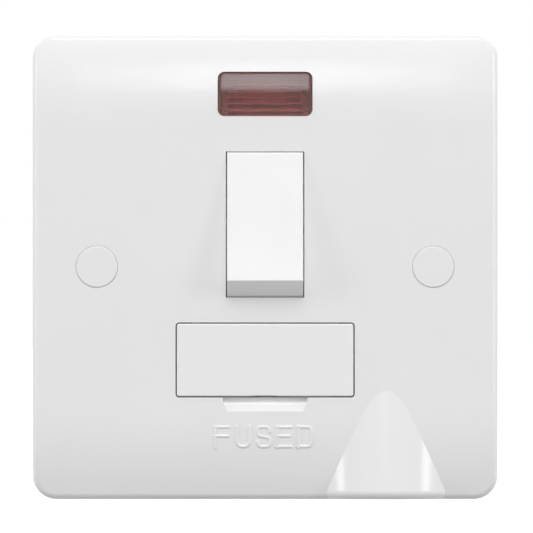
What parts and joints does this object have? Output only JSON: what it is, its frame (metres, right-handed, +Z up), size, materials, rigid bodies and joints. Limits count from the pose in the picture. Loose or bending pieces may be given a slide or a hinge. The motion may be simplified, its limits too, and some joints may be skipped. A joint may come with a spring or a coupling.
{
  "type": "switched fused spur unit",
  "caption": "White one-gang switched fused connection unit: crowned plate, rocker, neon window, pull-out fuse carrier, hooded flex outlet, and a rear base with terminals.",
  "frame": {"origin": "the plate's centre on the wall plane, midway between the two fixing screws", "axes": "+X to the user's right, +Z up, +Y into the wall; the face looks along -Y"},
  "size_m": [0.084, 0.0335, 0.084],
  "materials": {
    "plate_urea": "moulded white urea, polished",
    "switch_urea": "moulded white urea, polished",
    "base_nylon": "moulded nylon, satin",
    "lens_tint": "dark red clear acrylic, polished",
    "lamp_glass": "clear glass",
    "contact_brass": "rolled brass, bright",
    "terminal_brass": "turned brass, satin",
    "spring_steel": "drawn steel wire",
    "zinc_steel": "zinc plated steel, satin",
    "fuse_ceramic": "fired ceramic, satin",
    "fuse_nickel": "nickel plated brass, bright",
    "resistor_coat": "lacquered resistor",
    "lead_pvc": "grey insulated lead"
  },
  "bodies": {
    "base": {"front_plate": "plate_urea", "screw_caps": "plate_urea", "rear_housing": "base_nylon", "cord_clamp": "base_nylon", "neon_lens": "lens_tint", "neon_lamp": "lamp_glass", "live_supply_strip": "contact_brass", "neutral_supply_strip": "contact_brass", "live_strip": "contact_brass", "neutral_strip": "contact_brass", "load_strip": "contact_brass", "earth_strap": "contact_brass", "supply_fuse_clip": "contact_brass", "load_fuse_clip": "contact_brass", "live_supply_terminal": "terminal_brass", "neutral_supply_terminal": "terminal_brass", "live_load_terminal": "terminal_brass", "neutral_load_terminal": "terminal_brass", "supply_earth_terminal": "terminal_brass", "load_earth_terminal": "terminal_brass", "terminal_screws": "zinc_steel", "housing_screws": "zinc_steel", "clamp_screws": "zinc_steel", "fixing_screws": "zinc_steel", "neon_resistor": "resistor_coat", "neon_leads": "lead_pvc"},
    "rocker": {"rocker": "switch_urea", "live_plunger": "contact_brass", "neutral_plunger": "contact_brass", "live_spring": "spring_steel", "neutral_spring": "spring_steel"},
    "live_contact": {"live_contact_bar": "contact_brass"},
    "neutral_contact": {"neutral_contact_bar": "contact_brass"},
    "carrier": {"fuse_carrier": "switch_urea", "fuse_tube": "fuse_ceramic", "fuse_caps": "fuse_nickel"}
  },
  "joints": [
    {"name": "rocker_hinge", "type": "hinge", "parent": "base", "child": "rocker", "pos_m": [0, -0.0035, 0.00758], "axis": [1, 0, 0], "range_deg": [0, 17.2]},
    {"name": "live_contact_hinge", "type": "hinge", "parent": "base", "child": "live_contact", "pos_m": [0.0032, 0.0058, 0.00758], "axis": [1, 0, 0], "range_deg": [-17.2, 0]},
    {"name": "neutral_contact_hinge", "type": "hinge", "parent": "base", "child": "neutral_contact", "pos_m": [-0.0032, 0.0058, 0.00758], "axis": [1, 0, 0], "range_deg": [-17.2, 0]},
    {"name": "carrier_slide", "type": "slide", "parent": "base", "child": "carrier", "axis": [0, -1, 0], "range_m": [0, 0.0122]}
  ],
  "couplings": [
    {"joint": "live_contact_hinge", "follows": "rocker_hinge", "ratio": -1},
    {"joint": "neutral_contact_hinge", "follows": "rocker_hinge", "ratio": -1}
  ]
}
